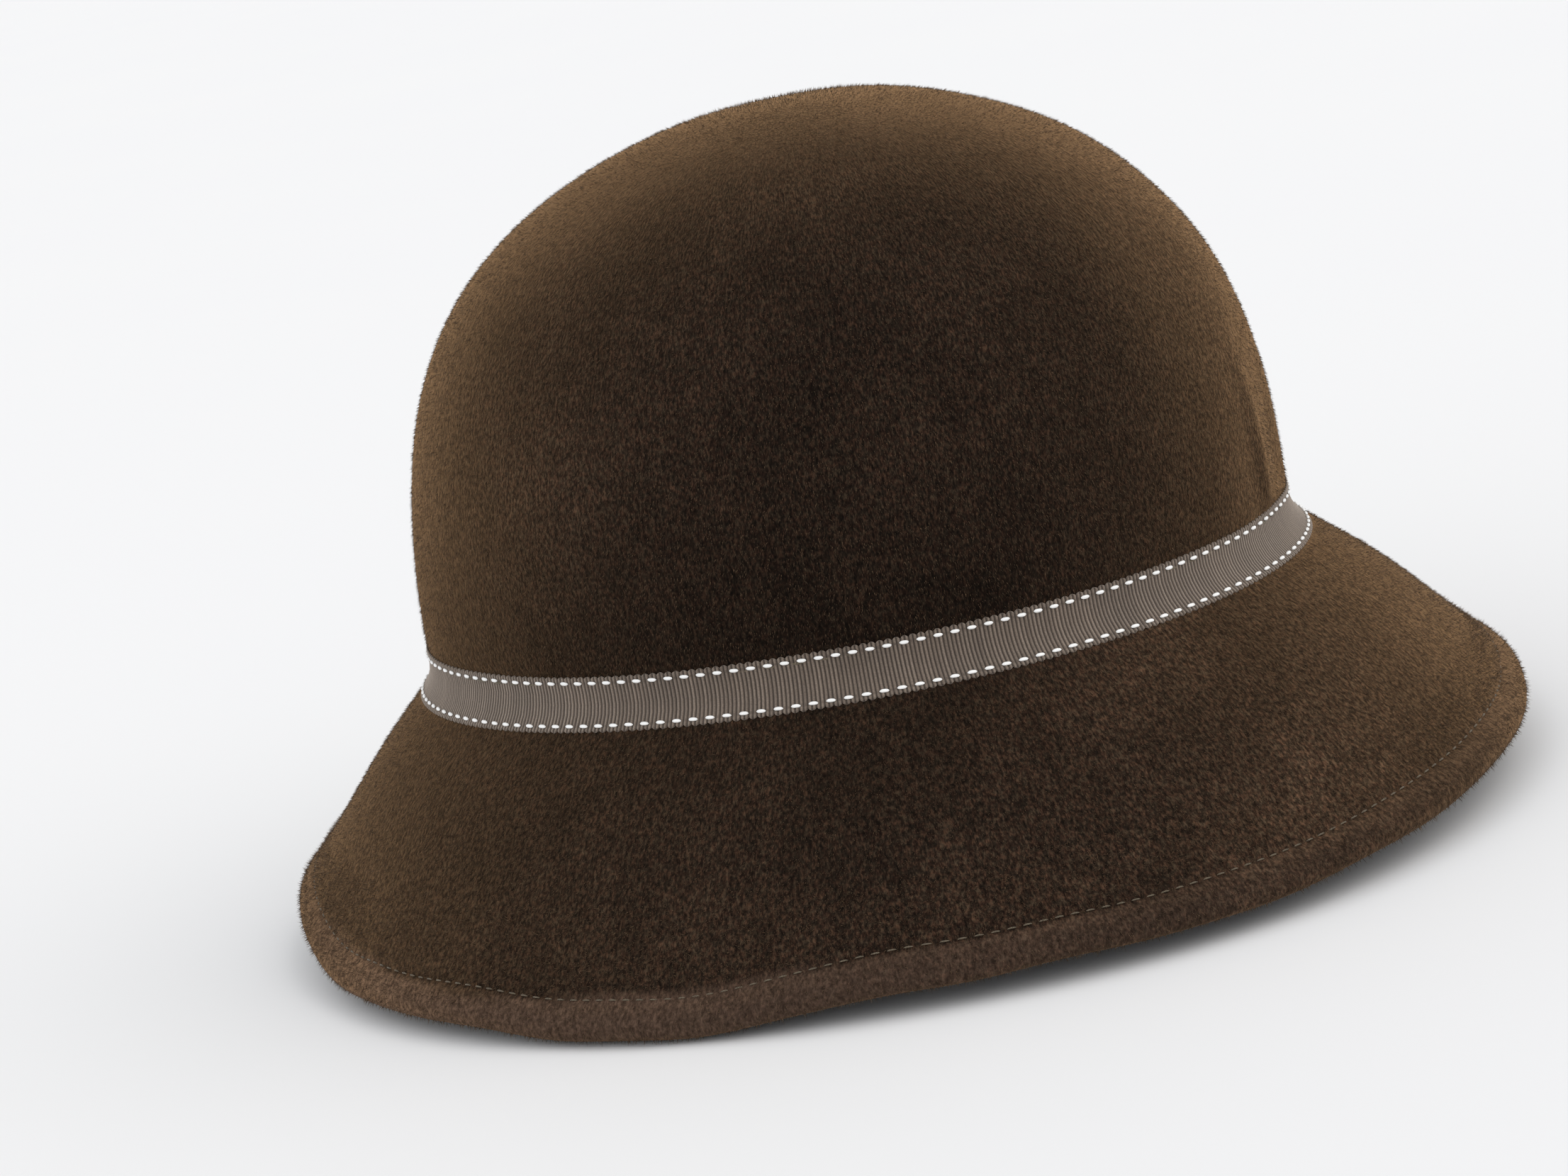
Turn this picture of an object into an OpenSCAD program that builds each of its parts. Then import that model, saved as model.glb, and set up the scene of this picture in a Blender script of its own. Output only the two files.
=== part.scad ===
// Domed felt hat with a sloping brim, a turned-under hem and a saddle-stitched ribbon.
// Origin: the centre of the head opening, on the line where crown and brim meet.
// +Z is up, -Y is the front of the hat and +X is the wearer's left. Plan angles run from +X to +Y.

/* [Head] */
// Length of the crown's outer wall at the head line, front to back
head_len = 208; // [196:1:220]
// Width of the crown's outer wall at the head line
head_wid = 168; // [158:1:178]
// How much wider the head oval is at the back than at the front, as a share of its width
head_egg = 0.02; // [0:0.005:0.04]

/* [Crown] */
// Height of the crown above the head line
crown_h = 115; // [100:1:130]
// Fullness of the dome: 2 is an ellipsoid and more is squarer
crown_full = 2.85; // [2.4:0.05:3.2]
// How far the top of the crown sits behind its foot
crown_lean = 3.5; // [0:0.5:8]
// Thickness of the felt
felt_t = 2.6; // [2.4:0.1:3]

/* [Brim] */
// Reach of the brim in front of the crown
brim_front = 44; // [38:1:50]
// Reach of the brim behind the crown
brim_back = 48; // [38:1:50]
// Reach of the brim at each side of the crown
brim_side = 48; // [38:1:50]
// How much wider the brim is at the back than at the front, as a share of its width
brim_egg = 0.025; // [0:0.005:0.04]
// Squareness of the brim's outline: 2 is an ellipse
brim_square = 2.1; // [2:0.05:2.3]
// Drop of the brim's edge below the head line at the front
drop_front = 50.5; // [42:0.5:58]
// Drop of the brim's edge at the back
drop_back = 48; // [42:0.5:58]
// Drop of the brim's edge at each side
drop_side = 57; // [46:0.5:60]
// Extra drop halfway between front and side
dip_front = 6; // [0:0.5:7]
// Extra drop halfway between back and side
dip_back = 2; // [0:0.5:7]
// How far the corner between crown and brim lies below the head line
corner_low = 3; // [1:0.5:4]
// How far the brim bulges above a straight slope
brim_bow = 1.2; // [0:0.1:2]
// Width of the hem turned under at the edge
hem_w = 10; // [9:0.5:12]
// Distance of the hem's stitches from the edge
hem_row = 8.4; // [7:0.2:8.6]
// Distance from one hem stitch to the next
hem_pitch = 3.2; // [2.8:0.1:4]
// Length of a hem stitch that lies in the open
hem_dash = 1.9; // [1.6:0.1:2.4]

/* [Ribbon] */
// Width of the ribbon
band_w = 13; // [12:0.1:14]
// Thickness of the ribbon
band_t = 0.4; // [0.3:0.05:0.6]
// How far the ribbon's middle sits above the middle of its bend onto the brim
band_high = 1.1; // [0:0.1:1.5]
// Distance of each stitch row from the ribbon's edge
row_inset = 1.4; // [1.2:0.1:2.2]
// Distance from one white stitch to the next
row_pitch = 3.8; // [3.5:0.1:4.5]
// Length of a white stitch
dash_len = 2; // [1.6:0.1:2.4]
// Plan angle of the ribbon's lapped join
join_angle = 150; // [120:5:240]

/* [Sweatband] */
// Width of the inner head ribbon
sweat_w = 25; // [20:1:30]
// Thickness of the inner head ribbon
sweat_t = 0.6; // [0.5:0.1:1]

/* [Hidden] */

felt_brown = [0.20, 0.13, 0.08];
ribbon_taupe = [0.42, 0.37, 0.33];
thread_white = [0.95, 0.95, 0.92];
thread_brown = [0.30, 0.22, 0.15];
petersham_brown = [0.16, 0.11, 0.08];

half_wid = head_wid / 2;
half_len = head_len / 2;

// Points round the hat
around = 96;
step = 360 / around;

// Felt and its turned parts
play = 0.1;            // clearance between layers that lie on each other
collar_t = 1.8;        // the brim's collar is skived thinner than the felt
collar_h = 12;         // height of the collar's top inside the crown
inner_up = 3;          // the collar's inner face starts this far above the corner
toe = 1;               // and the brim's underside starts this far down its slope
foot_up = 6.6;         // height above the corner at which the crown's foot has its full thickness
edge_r = 2.6;          // outer radius of the folded edge
pocket_r = 1.0;        // hollow in the fold, where the wire lies
hem_t = 2.2;           // the hem's layer is skived
slit = 0.15;           // gap between the hem and the brim above it
slit_end = 5;          // the gap stops this far from the edge
brim_bend_r = 8;       // bend from the collar out to the slope of the brim
wire_r = 0.6;
sleeve_r = 0.9;
sleeve_l = 12;

// Thread thicknesses
white_d = 0.8;
machine_d = 0.4;
hand_d = 0.5;
thread_proud = 0.05;   // a brown thread's middle lies this far off the felt or petersham
thread_lift = 0.1;     // and a thread's middle this far off the ribbon

// Ribbon
band_gap = 0.1;        // the ribbon stands this far off the felt
band_bend_r = 9;       // the ribbon bridges the corner in this bend
lap_len = 14;          // length of the ribbon's lapped end
lap_ramp = 5;          // length over which the end climbs onto the start
climb_gap = 0.3;       // plan angle between the start and the end that has climbed onto it
row_shift = 0.35;      // the lower row of stitches is moved along by this share of a step

// ---- Plan curves ----

// Head oval, offset outwards by out
function wall(t, out) =
    let (nx = half_len * cos(t), ny = half_wid * sin(t), m = norm([nx, ny]))
    [half_wid * cos(t) * (1 + head_egg * sin(t)) + out * nx / m,
     half_len * sin(t) + out * ny / m];

// A cosine or sine pushed out towards a square
function squared(v) = sign(v) * pow(abs(v), 2 / brim_square);

function edge_xy(t) =
    [(half_wid + brim_side) * squared(cos(t)) * (1 + brim_egg * sin(t)),
     (half_len + (sin(t) < 0 ? brim_front : brim_back)) * squared(sin(t))];

function edge_drop(t) =
    let (s = sin(t), c = cos(t), k = pow(sin(2 * t), 2))
    s < 0 ? drop_front * s * s + drop_side * c * c + dip_front * k
          : drop_back * s * s + drop_side * c * c + dip_back * k;

// Plan angle that spaces equal steps of u evenly along an oval of half axes a and b
function even(u, a, b) =
    u - (b * b - a * a) / (4 * (a * a + b * b)) * sin(2 * u) * 180 / PI;

// Length round an oval
function oval_len(a, b) = PI * (3 * (a + b) - sqrt((3 * a + b) * (a + 3 * b)));

// ---- Brim frame: s runs down the slope from the corner, w stands on the felt's top ----

function out_dir(t) = let (d = edge_xy(t) - wall(t, 0)) d / norm(d);
function reach(t) = norm(edge_xy(t) - wall(t, 0));
function slope(t) = atan2(edge_drop(t) - corner_low, reach(t));
function slant(t) = norm([edge_drop(t) - corner_low, reach(t)]);

// Height of the brim's bulge at distance s down the slope
function bow(t, s) = brim_bow * pow(sin(180 * s / (slant(t) - hem_w)), 2);

// A point at radial distance r outside the head wall and at height z
function at_wall(t, r, z) = let (p = wall(t, 0) + r * out_dir(t)) [p[0], p[1], z];

// The same in brim coordinates
function on_brim(t, s, w) =
    let (a = slope(t))
    at_wall(t, s * cos(a) + w * sin(a), w * cos(a) - s * sin(a) - corner_low);

// ---- Solids from rings of points ----

function quad(a, b, c, d) = [[a, b, c], [a, c, d]];

function skin_faces(rings, n, closed) =
    [for (i = [0 : rings - (closed ? 1 : 2)], j = [0 : n - 1])
        let (i2 = (i + 1) % rings, j2 = (j + 1) % n)
        each quad(i * n + j, i2 * n + j, i2 * n + j2, i * n + j2)];

// A cap between the two faces of a strip whose section has n points, n/2 on each face
function strip_cap(first, n) =
    [for (j = [0 : n / 2 - 2])
        each quad(first + j, first + j + 1, first + n - 2 - j, first + n - 1 - j)];

function turned(faces) = [for (f = faces) [f[0], f[2], f[1]]];
function flat_list(rings) = [for (r = rings) each r];

// A loop of sections that closes on itself
module loop_solid(sections)
    polyhedron(flat_list(sections), skin_faces(len(sections), len(sections[0]), true));

// A row of strip sections with both ends capped
module strip_solid(sections) {
    n = len(sections[0]);
    last = (len(sections) - 1) * n;
    polyhedron(flat_list(sections),
               concat(skin_faces(len(sections), n, false), strip_cap(0, n), turned(strip_cap(last, n))));
}

// A skin of rings with a flat ring closing each end
module capped_solid(rings) {
    n = len(rings[0]);
    last = (len(rings) - 1) * n;
    polyhedron(flat_list(rings),
               concat(skin_faces(len(rings), n, false), [[for (j = [0 : n - 1]) j]],
                      [[for (j = [n - 1 : -1 : 0]) last + j]]));
}

// A straight stitch between two points
module stitch(p, q, d) {
    v = q - p;
    translate(p)
        rotate([0, acos(v[2] / norm(v)), atan2(v[1], v[0])])
            cylinder(h = norm(v), d = d, $fn = 16);
}

// ---- Crown ----

dome_steps = [0, 1.5, 4, 8, 13, 18, 24, 31, 38, 46, 54, 62, 70, 78, 85];

// A point of the dome at angle f above the head line, inside the outer face by inset
function dome(t, f, inset) =
    let (h = pow(sin(f), 2 / crown_full), k = cos(f),
         p = wall(t, -inset), top = (crown_h - inset) * h)
    [p[0] * k, p[1] * k + crown_lean * h * h, top];

// The crown's foot is skived on the inside, so that it sits on the brim's bend
foot_f = asin(pow((foot_up - corner_low) / crown_h, crown_full / 2));

module crown_felt() {
    outer = [for (i = [len(dome_steps) - 1 : -1 : 0])
        [for (j = [0 : around - 1]) dome(j * step, dome_steps[i], 0)]];
    inner = [for (i = [2 : len(dome_steps) - 1])
        [for (j = [0 : around - 1]) dome(j * step, dome_steps[i], felt_t)]];
    low = [for (j = [0 : around - 1]) at_wall(j * step, 0, play - corner_low)];
    foot = [for (j = [0 : around - 1]) dome(j * step, foot_f, felt_t)];
    color(felt_brown) capped_solid(concat(outer, [low, foot], inner));
}

// ---- Brim ----

// The bend from the collar's outer face to the top of the slope
function bend_point(t, a) =
    let (turn = 90 - slope(t), r0 = -felt_t - play,
         zc = -corner_low - r0 * tan(slope(t)) + brim_bend_r * tan(turn / 2))
    at_wall(t, r0 + brim_bend_r * (1 - cos(a * turn)), zc - brim_bend_r * sin(a * turn));

function fold(t, r, a) = on_brim(t, slant(t) - edge_r + r * cos(a), -edge_r + r * sin(a));

function brim_section(t) =
    let (l = slant(t), inner = -felt_t - play - collar_t, low = -2 * edge_r,
         slit_low = low + hem_t, slit_top = slit_low + slit)
    concat(
        [at_wall(t, inner, collar_h), at_wall(t, -felt_t - play, collar_h)],
        [for (k = [0 : 3]) bend_point(t, k / 3)],
        [for (k = [0.25 : 0.25 : 1]) let (s = k * (l - hem_w)) on_brim(t, s, bow(t, s))],
        [for (a = [90 : -30 : -90]) fold(t, edge_r, a)],
        [on_brim(t, l - hem_w, low), on_brim(t, l - hem_w, slit_low), on_brim(t, l - slit_end, slit_low)],
        [for (a = [-140 : 56 : 140]) fold(t, pocket_r, a)],
        [on_brim(t, l - slit_end, slit_top), on_brim(t, l - hem_w - 1, slit_top)],
        [for (k = [0.75, 0.5, 0.25]) let (s = k * (l - hem_w)) on_brim(t, s, bow(t, s) - felt_t)],
        [on_brim(t, toe, -felt_t), at_wall(t, inner, inner_up - corner_low)]);

module brim_felt()
    color(felt_brown) loop_solid([for (i = [0 : around - 1]) brim_section(i * step)]);

// ---- Wire in the fold ----

wire_gap = 1;          // plan angle left open at the back, inside the sleeve

module brim_wire() {
    span = 360 - wire_gap;
    rings = [for (i = [0 : 120])
        let (t = 90 + wire_gap / 2 + span * i / 120)
        [for (a = [0 : 60 : 300]) fold(t, wire_r, a)]];
    color("gray") capped_solid(rings);
}

module wire_joiner() {
    p = fold(90, 0, 0);
    color("silver")
        translate(p)
            rotate([0, 90, 0])
                difference() {
                    cylinder(h = sleeve_l, r = sleeve_r, center = true, $fn = 32);
                    cylinder(h = sleeve_l + 2, r = wire_r, center = true, $fn = 32);
                }
}

// ---- Hem stitches ----

edge_a = half_wid + brim_side - hem_row;
edge_b = half_len + (brim_front + brim_back) / 2 - hem_row;
hem_count = round(oval_len(edge_a, edge_b) / hem_pitch);

// A row of stitches that follows the hem, w off the brim's top and moved along by shift of a step
module hem_row_of(w, shift) {
    for (i = [0 : hem_count - 1]) {
        u = (i + shift) * 360 / hem_count;
        half = hem_dash / hem_pitch * 180 / hem_count;
        t1 = even(u - half, edge_a, edge_b);
        t2 = even(u + half, edge_a, edge_b);
        stitch(on_brim(t1, slant(t1) - hem_row, w), on_brim(t2, slant(t2) - hem_row, w), machine_d);
    }
}

module hem_needle_thread() color(thread_brown) hem_row_of(thread_proud, 0);
module hem_bobbin_thread() color(thread_brown) hem_row_of(-2 * edge_r - thread_proud, 0.5);

// ---- Seam between crown and brim, under the ribbon ----

seam_pitch = 6;
seam_up = 2.8;         // height of the seam above the head line
seam_in = 0.2;         // its stitches are pulled this far into the felt
seam_cover = 0.55;     // share of each step that a stitch covers
seam_count = round(oval_len(half_wid, half_len) / seam_pitch);

module head_seam_thread() {
    color(thread_brown)
        for (i = [0 : seam_count - 1]) {
            t1 = even(i * 360 / seam_count, half_wid, half_len);
            t2 = even((i + seam_cover) * 360 / seam_count, half_wid, half_len);
            stitch(at_wall(t1, -seam_in, seam_up), at_wall(t2, -seam_in, seam_up), hand_d);
        }
}

// ---- Ribbon ----

// A point of the ribbon at distance s below the start of its bend and off outside the felt
function band_path(t, s, off) =
    let (turn = 90 - slope(t), bend = band_bend_r * turn * PI / 180,
         a = s <= 0 ? 0 : min(s / bend, 1) * turn,
         past = max(s - bend, 0), above = max(-s, 0),
         zc = band_bend_r * tan(turn / 2) - corner_low,
         r = band_bend_r * (1 - cos(a)) + past * sin(turn) + off * cos(a),
         z = zc + above - band_bend_r * sin(a) - past * cos(turn) + off * sin(a))
    at_wall(t, r, z);

function band_mid(t) = band_bend_r * (90 - slope(t)) * PI / 360 - band_high;

band_steps = 6;
function band_section(t, off) = concat(
    [for (k = [0 : band_steps])
        band_path(t, band_mid(t) + band_w * (k / band_steps - 0.5), off)],
    [for (k = [band_steps : -1 : 0])
        band_path(t, band_mid(t) + band_w * (k / band_steps - 0.5), off + band_t)]);

per_mm = 360 / oval_len(half_wid, half_len);   // plan angle for each millimetre of ribbon
lap_lift = band_t + play;

// The ribbon starts at the join, goes once round and climbs over its own start
module hat_band() {
    ramp = lap_ramp * per_mm;
    lap = lap_len * per_mm;
    turns = concat(
        [for (i = [0 : around - 1]) [join_angle + i * (360 - ramp) / around, 0]],
        [[join_angle + 360 - ramp, 0], [join_angle + 360 - climb_gap, lap_lift]],
        [for (k = [1 : 3]) [join_angle + 360 + lap * k / 3, lap_lift]]);
    color(ribbon_taupe) strip_solid([for (v = turns) band_section(v[0], band_gap + v[1])]);
}

row_count = round(oval_len(half_wid, half_len) / row_pitch);

module dash_row(side, shift) {
    off = band_gap + band_t + thread_lift;
    half = dash_len / row_pitch / 2;
    for (i = [0 : row_count - 1]) {
        t1 = even((i + shift - half) * 360 / row_count, half_wid, half_len);
        t2 = even((i + shift + half) * 360 / row_count, half_wid, half_len);
        lapped = (t1 - join_angle) * (join_angle + lap_len * per_mm - t2) > 0;
        d = side * (band_w / 2 - row_inset);
        lift = off + (lapped ? lap_lift : 0);
        stitch(band_path(t1, band_mid(t1) + d, lift), band_path(t2, band_mid(t2) + d, lift), white_d);
    }
}

module band_upper_stitches() color(thread_white) dash_row(-1, 0);
module band_lower_stitches() color(thread_white) dash_row(1, row_shift);

tack_inset = 1.2;      // distance of the tacks from the ribbon's end
tack_pitch = 2.4;
tack_half = 0.6;       // half the length of a tack

// Small stitches down the ribbon's lapped end
module band_tack_stitches() {
    t = join_angle + (lap_len - tack_inset) * per_mm;
    off = band_gap + band_t + lap_lift + thread_lift;
    color(thread_brown)
        for (k = [-1.5 : 1 : 1.5]) {
            s = band_mid(t) + k * tack_pitch;
            stitch(band_path(t, s - tack_half, off), band_path(t, s + tack_half, off), hand_d);
        }
}

// ---- Sweatband ----

sweat_out = -felt_t - collar_t - 2 * play;     // its outer face, against the collar
sweat_low = 1;         // height of its lower edge
sweat_lap = 20;
sweat_row = 3;         // height of its stitches
sweat_pitch = 7;

function sweat_section(t, off) =
    let (r = sweat_out - off, heights = [sweat_low, sweat_low + sweat_w / 2, sweat_low + sweat_w])
    concat([for (z = heights) at_wall(t, r, z)],
           [for (k = [2 : -1 : 0]) at_wall(t, r - sweat_t, heights[k])]);

// The petersham starts at the back, goes once round and laps inside its own start
module sweatband() {
    ramp = lap_ramp * per_mm;
    lap = sweat_lap * per_mm;
    turns = concat(
        [for (i = [0 : around - 1]) [90 + i * (360 - ramp) / around, 0]],
        [[450 - ramp, 0], [450 - climb_gap, sweat_t + play]],
        [for (k = [1 : 3]) [450 + lap * k / 3, sweat_t + play]]);
    color(petersham_brown) strip_solid([for (v = turns) sweat_section(v[0], v[1])]);
}

sweat_count = round(oval_len(half_wid, half_len) / sweat_pitch);

module sweatband_stitches() {
    r = sweat_out - sweat_t - thread_proud;
    color(thread_brown)
        for (i = [0 : sweat_count - 1]) {
            t1 = even(i * 360 / sweat_count, half_wid, half_len);
            t2 = even((i + 0.5) * 360 / sweat_count, half_wid, half_len);
            stitch(at_wall(t1, r, sweat_row), at_wall(t2, r, sweat_row), hand_d);
        }
}

crown_felt();
brim_felt();
brim_wire();
wire_joiner();
hem_needle_thread();
hem_bobbin_thread();
head_seam_thread();
hat_band();
band_upper_stitches();
band_lower_stitches();
band_tack_stitches();
sweatband();
sweatband_stitches();
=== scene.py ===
"""Looks of a domed velour felt hat with a sloping brim, a stitched hem and a saddle-stitched ribbon.

The felt, ribbon, sweatband and threads are built in mesh code on the CAD model's own curves.
Lengths are in metres, angles in radians, and plan angles run from +X (the wearer's left) to +Y (the back).
"""
import math

import bpy
import numpy as np
from mathutils import Matrix, Vector


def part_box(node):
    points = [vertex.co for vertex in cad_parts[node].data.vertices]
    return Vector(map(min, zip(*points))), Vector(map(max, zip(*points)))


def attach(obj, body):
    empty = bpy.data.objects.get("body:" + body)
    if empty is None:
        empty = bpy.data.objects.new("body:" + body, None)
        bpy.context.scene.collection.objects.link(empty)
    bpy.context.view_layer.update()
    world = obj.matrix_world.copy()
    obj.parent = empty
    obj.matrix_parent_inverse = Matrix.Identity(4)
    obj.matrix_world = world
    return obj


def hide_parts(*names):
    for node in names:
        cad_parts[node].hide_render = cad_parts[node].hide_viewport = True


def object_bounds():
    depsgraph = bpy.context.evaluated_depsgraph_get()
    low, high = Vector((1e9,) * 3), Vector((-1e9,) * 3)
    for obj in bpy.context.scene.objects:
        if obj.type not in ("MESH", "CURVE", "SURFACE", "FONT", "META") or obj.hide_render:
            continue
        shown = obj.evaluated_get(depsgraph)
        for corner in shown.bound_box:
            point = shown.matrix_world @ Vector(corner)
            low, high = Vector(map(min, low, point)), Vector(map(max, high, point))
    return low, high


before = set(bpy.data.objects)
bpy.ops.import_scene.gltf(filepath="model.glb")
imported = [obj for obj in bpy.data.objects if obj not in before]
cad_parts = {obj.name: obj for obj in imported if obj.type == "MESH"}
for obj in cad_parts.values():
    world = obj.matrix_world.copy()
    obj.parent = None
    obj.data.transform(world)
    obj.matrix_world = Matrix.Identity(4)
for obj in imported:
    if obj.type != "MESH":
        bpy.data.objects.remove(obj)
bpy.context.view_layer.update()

MM = 0.001
rng = np.random.default_rng(56)

# ---- Driving dimensions: from the frame where it has them, else the design's own ----

crown_low, crown_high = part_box("crown_felt")
HALF_WID = (crown_high.x - crown_low.x) / 2
HALF_LEN = (crown_high.y - crown_low.y) / 2
PLAY = 0.1 * MM

# Crown: how egg-shaped its plan is, how full its dome is, and how far the dome leans to the back
HEAD_EGG, CROWN_FULL = 0.02, 2.85
CROWN_H, CROWN_LEAN = 115 * MM, 3.5 * MM
FELT_T, FOOT_Z = 2.6 * MM, 3.6 * MM

# Brim: its reach in plan, the drop of its edge, its bend and bulge, its collar and its turned hem
BRIM_FRONT, BRIM_BACK, BRIM_SIDE = 44 * MM, 48 * MM, 48 * MM
BRIM_EGG, BRIM_SQUARE = 0.025, 2.1
DROP_FRONT, DROP_BACK, DROP_SIDE = 50.5 * MM, 48 * MM, 57 * MM
DIP_FRONT, DIP_BACK = 6 * MM, 2 * MM
CORNER_LOW, BRIM_BEND_R, BRIM_BOW = 3 * MM, 8 * MM, 1.2 * MM
COLLAR_T, COLLAR_H = 1.8 * MM, 12 * MM
HEM_W, HEM_T, EDGE_R = 10 * MM, 2.2 * MM, 2.6 * MM
HEM_ROW, HEM_PITCH, HEM_DASH = 8.4 * MM, 3.2 * MM, 1.9 * MM

# Ribbon: its section, its bend on to the brim, its lapped join, its ribs and its running stitches
BAND_W, BAND_T, BAND_GAP, BAND_HIGH = 13 * MM, 0.4 * MM, 0.1 * MM, 1.1 * MM
BAND_BEND_R = 9 * MM
JOIN_ANGLE = math.radians(150)
LAP_LEN, LAP_RAMP = 14 * MM, 5 * MM
RIB_PITCH = 0.92 * MM
ROW_INSET, ROW_PITCH, DASH_LEN = 1.4 * MM, 3.8 * MM, 2.1 * MM
DASH_W, DASH_RISE, DASH_TILT, THREAD_PROUD = 0.86 * MM, 0.10 * MM, 0.07 * MM, 0.1 * MM
TACK_INSET, TACK_PITCH, TACK_HALF = 1.2 * MM, 2.4 * MM, 0.6 * MM

# Sweatband inside the brim's collar, the seam under the ribbon, and the wire in the fold
SWEAT_W, SWEAT_T, SWEAT_LOW, SWEAT_LAP = 25 * MM, 0.6 * MM, 1 * MM, 20 * MM
SWEAT_OUTER = -FELT_T - COLLAR_T - 2 * PLAY
SWEAT_ROW, SWEAT_PITCH = 3 * MM, 7 * MM
SEAM_IN, SEAM_UP, SEAM_PITCH = 0.2 * MM, 2.8 * MM, 6 * MM
WIRE_R, WIRE_GAP = 0.6 * MM, math.radians(1)

# Brown threads: width and rise of the machine's hem stitches, and width of the stitches made by hand
HEM_THREAD_W, HEM_THREAD_RISE = 0.38 * MM, 0.18 * MM
HAND_THREAD_W = 0.5 * MM


# ---- Plan curves, as in the design ----

def wall(t, out):
    """Head oval, offset outwards. Returns x and y."""
    nx, ny = HALF_LEN * np.cos(t), HALF_WID * np.sin(t)
    m = np.hypot(nx, ny)
    x = HALF_WID * np.cos(t) * (1 + HEAD_EGG * np.sin(t)) + out * nx / m
    y = HALF_LEN * np.sin(t) + out * ny / m
    return x, y


def squared(v):
    """A sine or cosine whose oval is fuller at its four corners than an ellipse."""
    return np.sign(v) * np.abs(v) ** (2 / BRIM_SQUARE)


def edge_xy(t):
    """The brim's edge in plan."""
    s, c = np.sin(t), np.cos(t)
    reach = np.where(s < 0, BRIM_FRONT, BRIM_BACK)
    return ((HALF_WID + BRIM_SIDE) * squared(c) * (1 + BRIM_EGG * s), (HALF_LEN + reach) * squared(s))


def edge_drop(t):
    """Depth of the brim's edge below the head line."""
    s, c, k = np.sin(t), np.cos(t), np.sin(2 * t) ** 2
    end = np.where(s < 0, DROP_FRONT, DROP_BACK)
    dip = np.where(s < 0, DIP_FRONT, DIP_BACK)
    return end * s * s + DROP_SIDE * c * c + dip * k


def even(u, a, b):
    """Plan angle that spaces equal steps of u evenly along an oval of half axes a and b."""
    return u - (b * b - a * a) / (4 * (a * a + b * b)) * np.sin(2 * u)


def odd(t, a, b):
    """The even step whose plan angle is t."""
    u = t
    for _ in range(8):
        u += t - even(u, a, b)
    return u


def oval_len(a, b):
    """Length round an oval of half axes a and b."""
    return math.pi * (3 * (a + b) - math.sqrt((3 * a + b) * (a + 3 * b)))


HEAD_OVAL = (HALF_WID, HALF_LEN)
HEAD_LINE = oval_len(*HEAD_OVAL)


def brim_frame(t):
    """Outward direction, slope below the horizontal and slant length of the brim."""
    wx, wy = wall(t, 0)
    ex, ey = edge_xy(t)
    dx, dy = ex - wx, ey - wy
    reach = np.hypot(dx, dy)
    drop = edge_drop(t) - CORNER_LOW
    return dx / reach, dy / reach, np.arctan2(drop, reach), np.hypot(drop, reach)


def at_wall(t, r, z):
    """Points at radial distance r outside the head wall and at height z."""
    t = np.asarray(t, float)
    wx, wy = wall(t, 0)
    ox, oy, _, _ = brim_frame(t)
    return np.stack(np.broadcast_arrays(wx + r * ox, wy + r * oy, z), -1)


def on_brim(t, s, w):
    """Points s down the brim's slope from its corner with the crown, standing w off its top."""
    _, _, a, _ = brim_frame(np.asarray(t, float))
    return at_wall(t, s * np.cos(a) + w * np.sin(a), w * np.cos(a) - s * np.sin(a) - CORNER_LOW)


def bow(t, s):
    """Height of the brim's bulge above a straight slope."""
    _, _, _, slant = brim_frame(np.asarray(t, float))
    return BRIM_BOW * np.sin(math.pi * np.clip(s / (slant - HEM_W), 0, 1)) ** 2


def band_path(t, s, off):
    """Points on the ribbon, s below the start of its bend and off its inner face."""
    _, _, slope, _ = brim_frame(np.asarray(t, float))
    turn = math.pi / 2 - slope
    bend = BAND_BEND_R * turn
    a = np.clip(s / bend, 0, 1) * turn
    past, above = np.maximum(s - bend, 0), np.maximum(-s, 0)
    r = BAND_BEND_R * (1 - np.cos(a)) + past * np.sin(turn) + off * np.cos(a)
    z = (BAND_BEND_R * np.tan(turn / 2) - CORNER_LOW + above - BAND_BEND_R * np.sin(a)
         - past * np.cos(turn) + off * np.sin(a))
    return at_wall(t, r, z)


def band_mid(t):
    """Where the ribbon's middle line runs, as a distance below the start of its bend."""
    _, _, slope, _ = brim_frame(np.asarray(t, float))
    return BAND_BEND_R * (math.pi / 2 - slope) / 2 - BAND_HIGH


# ---- Mesh helpers ----

UP = np.array([0, 0, 1.0])


def raised(p, height):
    """Points p moved up by height."""
    return p + UP * height[..., None]


def waves(points, size, seed, count=24):
    """Smooth random height from -1 to 1 at points, with features about size across."""
    draw = np.random.default_rng(seed)
    k = draw.normal(size=(count, 3)) * (2 * math.pi / size / 1.7)
    phase = draw.uniform(0, 2 * math.pi, count)
    return np.cos(points @ k.T + phase).sum(-1) / math.sqrt(count)


def smooth(x, low, high):
    """0 below low, 1 above high and smooth between."""
    k = np.clip((x - low) / (high - low), 0, 1)
    return k * k * (3 - 2 * k)


def bump(x, centre, width):
    """A smooth bump of height 1."""
    return np.exp(-((x - centre) / width) ** 2)


def plan_bump(t, centre, width):
    """A smooth bump in plan angle, centre and width in degrees."""
    away = (t - math.radians(centre) + math.pi) % (2 * math.pi) - math.pi
    return np.exp(-(away / math.radians(width)) ** 2)


def down_slope(rings):
    """Distance down each meridian of a grid of rings."""
    steps = np.linalg.norm(np.diff(rings, axis=0), axis=-1)
    return np.concatenate([np.zeros((1, rings.shape[1])), np.cumsum(steps, axis=0)])


def nap_place(t, rings):
    """Where the nap's grain is looked up: round the head oval, and down the meridian it lies along."""
    x, y = wall(t, 0)
    return np.stack(np.broadcast_arrays(x, y, down_slope(rings)), -1)


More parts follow.
